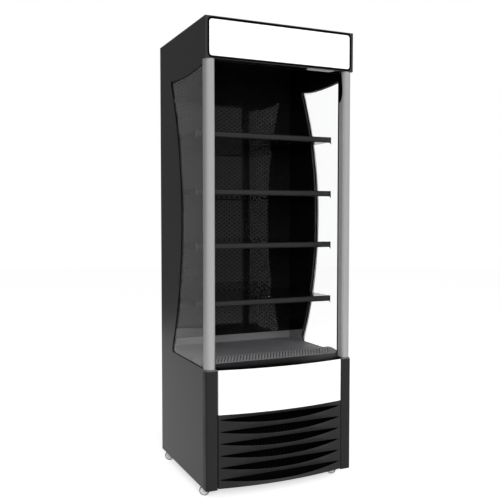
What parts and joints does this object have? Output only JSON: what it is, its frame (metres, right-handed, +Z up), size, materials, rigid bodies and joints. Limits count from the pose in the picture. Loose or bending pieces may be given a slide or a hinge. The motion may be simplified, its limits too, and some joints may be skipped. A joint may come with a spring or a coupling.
{
  "type": "open multideck display fridge",
  "caption": "Tall open-front display fridge with glazed sides, tilting shelves, a white sign canopy, a bowed louvred base and swivel castors.",
  "frame": {"origin": "on the floor under the middle of the bounding box", "axes": "+X to the right seen from the front, -Y towards the front, +Z up"},
  "size_m": [0.7, 0.643, 2],
  "materials": {
    "cabinet_paint": "satin black powder coat",
    "gloss_black": "glossy black",
    "deck_paint": "satin dark grey",
    "silver": "satin anodised",
    "steel": "galvanised",
    "dark_steel": "dark coated steel",
    "white_sign": "white panel",
    "lamp_glass": "opal tube",
    "foam_wall": "light grey liner",
    "black_plastic": "matte black",
    "rubber": "black rubber",
    "glass": "clear",
    "chrome": "zinc or chrome plated",
    "wheel_rubber": "grey-black tread"
  },
  "bodies": {
    "cabinet": {"back_panel": "cabinet_paint", "roof_panel": "cabinet_paint", "deck_nose": "cabinet_paint", "louvre_grille": "cabinet_paint", "canopy_bezel": "cabinet_paint", "side_panel_left": "cabinet_paint", "lower_corner_post_left": "cabinet_paint", "side_glass_left": "glass", "glass_gasket_left": "rubber", "front_post_left": "silver", "shelf_upright_left": "dark_steel", "side_panel_right": "cabinet_paint", "lower_corner_post_right": "cabinet_paint", "side_glass_right": "glass", "glass_gasket_right": "rubber", "front_post_right": "silver", "shelf_upright_right": "dark_steel", "rear_duct_panel": "gloss_black", "ceiling_panel": "gloss_black", "canopy_light_box": "gloss_black", "air_curtain_honeycomb": "black_plastic", "drain_pan": "black_plastic", "control_box": "black_plastic", "canopy_sign": "white_sign", "lower_sign": "white_sign", "canopy_lamp": "lamp_glass", "deck_pan": "deck_paint", "return_air_grille": "deck_paint", "base_tank": "foam_wall", "evaporator_coil": "steel", "evaporator_fan_plate": "steel", "base_pan": "steel", "compressor": "dark_steel", "condenser_coil": "dark_steel", "condenser_shroud": "dark_steel", "rear_grille": "dark_steel"},
    "shelf_body_1": {"shelf_1": "gloss_black", "price_rail_1": "cabinet_paint", "shelf_frame_1": "gloss_black"},
    "shelf_body_2": {"shelf_2": "gloss_black", "price_rail_2": "cabinet_paint", "shelf_frame_2": "gloss_black"},
    "shelf_body_3": {"shelf_3": "gloss_black", "price_rail_3": "cabinet_paint", "shelf_frame_3": "gloss_black"},
    "shelf_body_4": {"shelf_4": "gloss_black", "price_rail_4": "cabinet_paint", "shelf_frame_4": "gloss_black"},
    "evaporator_fan_rotor": {"evaporator_fan": "black_plastic"},
    "condenser_fan_rotor": {"condenser_fan": "black_plastic"},
    "thermostat": {"thermostat_knob": "black_plastic"},
    "rocker": {"power_rocker": "black_plastic"},
    "castor_swivel_front_left": {"castor_fork_front_left": "chrome"},
    "castor_roller_front_left": {"castor_wheel_front_left": "wheel_rubber"},
    "castor_swivel_front_right": {"castor_fork_front_right": "chrome"},
    "castor_roller_front_right": {"castor_wheel_front_right": "wheel_rubber"},
    "castor_swivel_rear_left": {"castor_fork_rear_left": "chrome"},
    "castor_roller_rear_left": {"castor_wheel_rear_left": "wheel_rubber"},
    "castor_swivel_rear_right": {"castor_fork_rear_right": "chrome"},
    "castor_roller_rear_right": {"castor_wheel_rear_right": "wheel_rubber"}
  },
  "joints": [
    {"name": "shelf_1_lift", "type": "hinge", "parent": "cabinet", "child": "shelf_body_1", "pos_m": [0, 0.2833, 1.5465], "axis": [-1, 0, 0], "range_deg": [0, 10]},
    {"name": "shelf_2_lift", "type": "hinge", "parent": "cabinet", "child": "shelf_body_2", "pos_m": [0, 0.2833, 1.2975], "axis": [-1, 0, 0], "range_deg": [0, 10]},
    {"name": "shelf_3_lift", "type": "hinge", "parent": "cabinet", "child": "shelf_body_3", "pos_m": [0, 0.2833, 1.0615], "axis": [-1, 0, 0], "range_deg": [0, 10]},
    {"name": "shelf_4_lift", "type": "hinge", "parent": "cabinet", "child": "shelf_body_4", "pos_m": [0, 0.2833, 0.8085], "axis": [-1, 0, 0], "range_deg": [0, 10]},
    {"name": "evaporator_fan_spin", "type": "hinge", "parent": "cabinet", "child": "evaporator_fan_rotor", "pos_m": [0, -0.1165, 0.46685], "axis": [0, 1, 0], "continuous": true},
    {"name": "condenser_fan_spin", "type": "hinge", "parent": "cabinet", "child": "condenser_fan_rotor", "pos_m": [-0.11, -0.1717, 0.169], "axis": [0, 1, 0], "continuous": true},
    {"name": "thermostat_turn", "type": "hinge", "parent": "cabinet", "child": "thermostat", "pos_m": [0.22, 0.3095, 0.298], "axis": [0, -1, 0], "range_deg": [0, 270]},
    {"name": "power_rocker_tilt", "type": "hinge", "parent": "cabinet", "child": "rocker", "pos_m": [0.28, 0.3045, 0.298], "axis": [1, 0, 0], "range_deg": [0, 16]},
    {"name": "castor_swivel_front_left", "type": "hinge", "parent": "cabinet", "child": "castor_swivel_front_left", "pos_m": [-0.313, -0.217, 0.05], "axis": [0, 0, 1], "continuous": true},
    {"name": "castor_roll_front_left", "type": "hinge", "parent": "castor_swivel_front_left", "child": "castor_roller_front_left", "pos_m": [-0.32742, -0.20799, 0.0215], "axis": [0.5299, 0.848, 0], "continuous": true},
    {"name": "castor_swivel_front_right", "type": "hinge", "parent": "cabinet", "child": "castor_swivel_front_right", "pos_m": [0.313, -0.217, 0.05], "axis": [0, 0, 1], "continuous": true},
    {"name": "castor_roll_front_right", "type": "hinge", "parent": "castor_swivel_front_right", "child": "castor_roller_front_right", "pos_m": [0.29858, -0.20799, 0.0215], "axis": [0.5299, 0.848, 0], "continuous": true},
    {"name": "castor_swivel_rear_left", "type": "hinge", "parent": "cabinet", "child": "castor_swivel_rear_left", "pos_m": [-0.313, 0.2655, 0.05], "axis": [0, 0, 1], "continuous": true},
    {"name": "castor_roll_rear_left", "type": "hinge", "parent": "castor_swivel_rear_left", "child": "castor_roller_rear_left", "pos_m": [-0.32742, 0.27451, 0.0215], "axis": [0.5299, 0.848, 0], "continuous": true},
    {"name": "castor_swivel_rear_right", "type": "hinge", "parent": "cabinet", "child": "castor_swivel_rear_right", "pos_m": [0.313, 0.2655, 0.05], "axis": [0, 0, 1], "continuous": true},
    {"name": "castor_roll_rear_right", "type": "hinge", "parent": "castor_swivel_rear_right", "child": "castor_roller_rear_right", "pos_m": [0.29858, 0.27451, 0.0215], "axis": [0.5299, 0.848, 0], "continuous": true}
  ]
}
